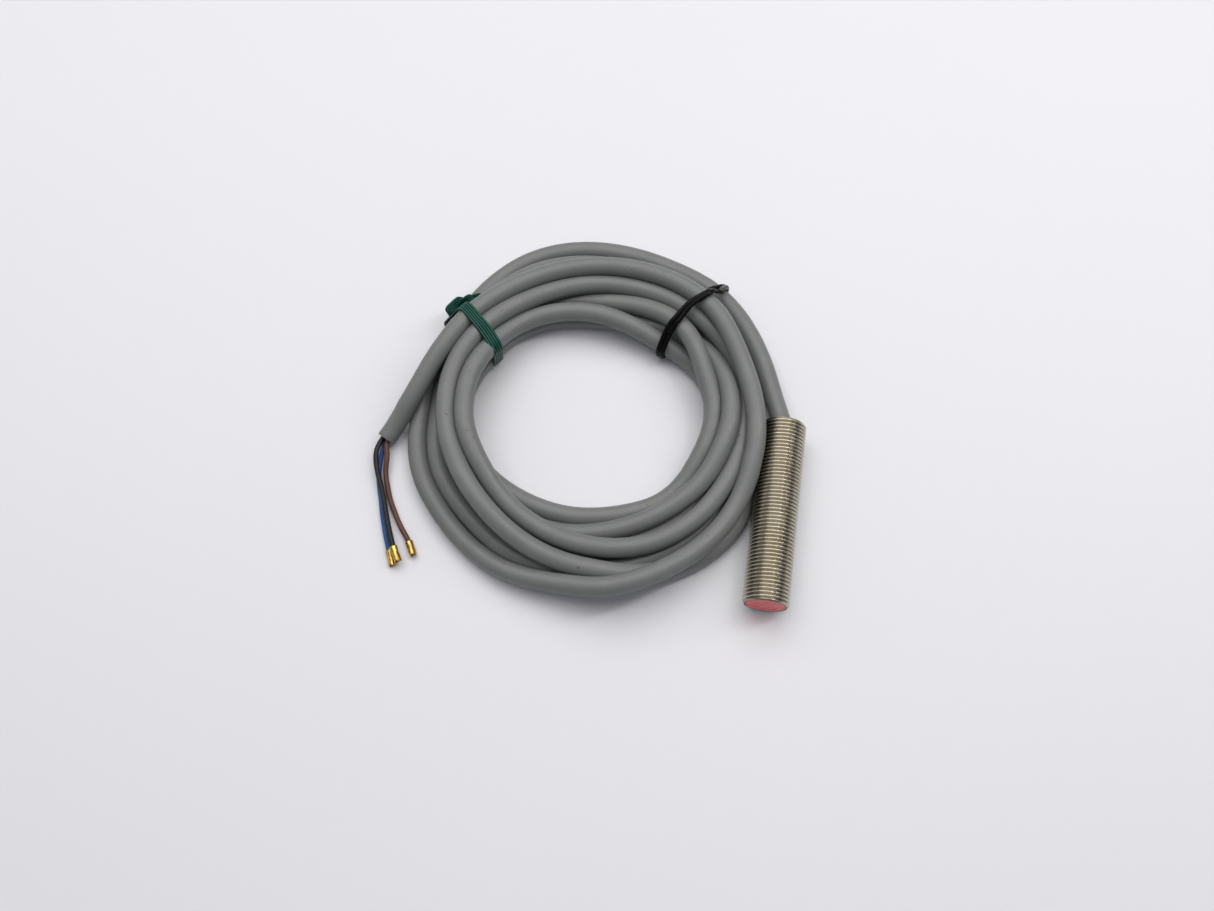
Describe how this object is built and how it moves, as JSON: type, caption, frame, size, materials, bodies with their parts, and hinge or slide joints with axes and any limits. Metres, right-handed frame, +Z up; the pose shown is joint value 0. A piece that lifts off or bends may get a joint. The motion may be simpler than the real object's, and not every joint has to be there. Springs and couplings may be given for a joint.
{
  "type": "inductive proximity sensor with cable",
  "caption": "Cylindrical inductive proximity sensor: threaded nickel-plated barrel, red sensing face, grey round cable wound in a tied coil, stripped wires with ferrules.",
  "frame": {"origin": "centre of the flat sensing face at the front end of the barrel", "axes": "+Y along the barrel from the sensing face to the cable end, +Z up from the surface it lies on, coil towards -X"},
  "size_m": [0.1138, 0.1026, 0.0131],
  "materials": {
    "nickel": "satin nickel plate over turned brass",
    "red_plastic": "satin",
    "ferrite": "matt",
    "natural_plastic": "satin",
    "black_plastic": "satin",
    "copper": "polished enamelled copper",
    "brass": "polished",
    "board_green": "solder mask",
    "ceramic": "matt",
    "tantalum_yellow": "satin",
    "cable_grey": "satin PVC jacket",
    "wire_black": "PVC insulation",
    "wire_blue": "PVC insulation",
    "wire_brown": "PVC insulation",
    "tie_green": "ribbed glossy film",
    "tie_black": "glossy film"
  },
  "bodies": {
    "root": {"threaded_barrel": "nickel", "sensing_face_cap": "red_plastic", "ferrite_pot_core": "ferrite", "coil_bobbin": "natural_plastic", "coil_winding": "copper", "core_holder": "natural_plastic", "circuit_board": "board_green", "oscillator_chip": "black_plastic", "output_transistor": "black_plastic", "protection_diode": "black_plastic", "tank_capacitor": "ceramic", "filter_capacitor": "ceramic", "supply_capacitor": "tantalum_yellow", "gain_resistor": "black_plastic", "bias_resistor": "black_plastic", "feedback_resistor": "black_plastic", "output_resistor": "black_plastic", "coil_lead_left": "copper", "coil_lead_right": "copper", "insulating_sleeve": "natural_plastic", "inner_lead_brown": "wire_brown", "inner_lead_black": "wire_black", "inner_lead_blue": "wire_blue", "crimp_ring": "brass", "rear_bush": "black_plastic", "cable_lead": "cable_grey", "cable_coil": "cable_grey", "cable_tail": "cable_grey", "wire_black": "wire_black", "wire_blue": "wire_blue", "wire_brown": "wire_brown", "ferrule_black": "brass", "ferrule_blue": "brass", "ferrule_brown": "brass", "green_tie": "tie_green", "black_tie": "tie_black"}
  },
  "joints": []
}
